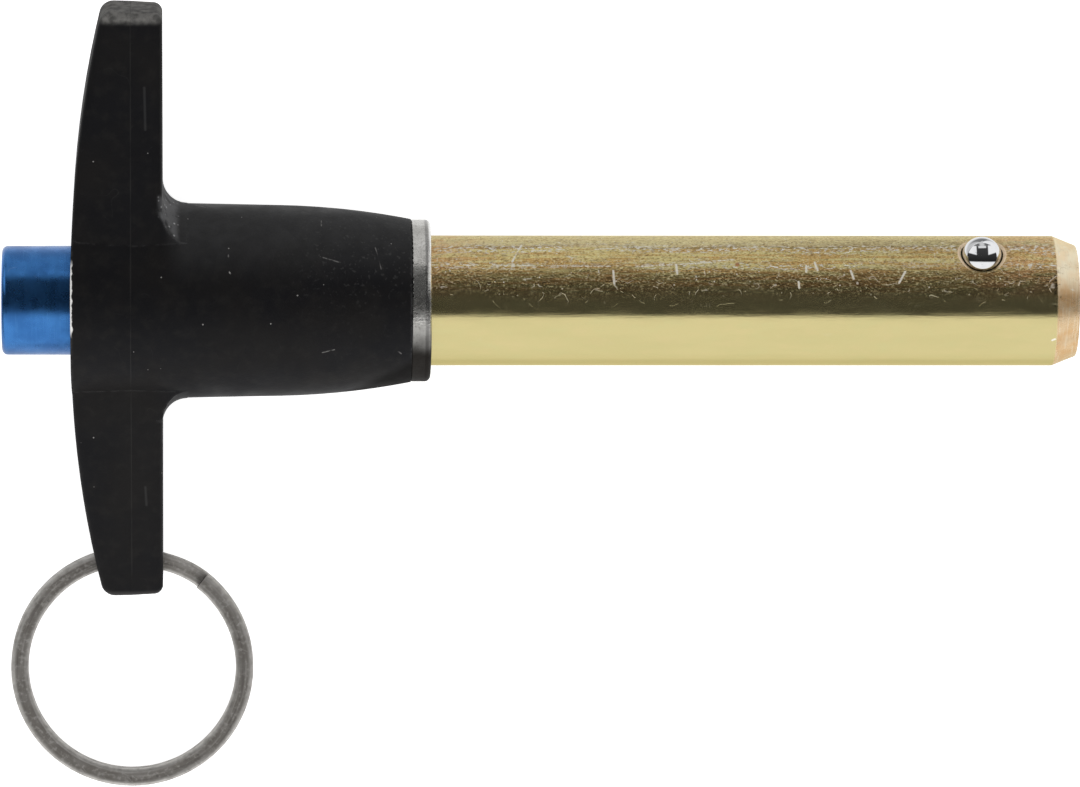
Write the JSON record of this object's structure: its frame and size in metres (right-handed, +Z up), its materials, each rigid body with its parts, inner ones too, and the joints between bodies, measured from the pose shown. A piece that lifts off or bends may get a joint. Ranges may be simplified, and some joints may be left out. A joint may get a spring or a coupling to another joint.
{
  "type": "ball lock pin",
  "caption": "Quick-release ball lock pin: push-button spindle frees two locking balls in a plated shank, with a T-handle and a split ring.",
  "frame": {"origin": "on the pin's axis at the shoulder, in the front face of the steel collar", "axes": "+X along the pin towards its tip, +Z up from the table it lies on, +Y towards the T-bar's end without the ring"},
  "size_m": [0.1048, 0.0776, 0.02],
  "materials": {
    "handle": "matt moulded nylon",
    "collar": "turned, plain",
    "shank": "ground, yellow zinc with a rainbow sheen",
    "spindle": "ground",
    "button": "blue anodised, satin",
    "spring": "drawn wire",
    "ball": "polished",
    "ring": "flat wire, dull nickel"
  },
  "bodies": {
    "root": {"handle": "handle", "shoulder_collar": "collar", "shank": "shank"},
    "plunger": {"release_button": "button", "spindle": "spindle", "return_spring": "spring"},
    "upper_ball": {"ball_a": "ball"},
    "lower_ball": {"ball_b": "ball"},
    "ring": {"split_ring": "ring"}
  },
  "joints": [
    {"name": "button_press", "type": "slide", "parent": "root", "child": "plunger", "axis": [1, 0, 0], "range_m": [0, 0.005], "stiffness_N_per_m": 1400, "springref_m": -0.005, "deforming": ["return_spring"]},
    {"name": "ball_a_lock", "type": "slide", "parent": "root", "child": "upper_ball", "axis": [0, 0.7545, 0.6563], "range_m": [-0.00152, 0]},
    {"name": "ball_b_lock", "type": "slide", "parent": "root", "child": "lower_ball", "axis": [0, -0.7545, -0.6563], "range_m": [-0.00152, 0]},
    {"name": "ring_swing", "type": "hinge", "parent": "root", "child": "ring", "pos_m": [-0.0291, -0.02565, -0.00655], "axis": [1, 0, 0], "range_deg": [-142, 158]}
  ],
  "couplings": [
    {"joint": "ball_a_lock", "follows": "button_press", "ratio": -0.304},
    {"joint": "ball_b_lock", "follows": "button_press", "ratio": -0.304}
  ]
}
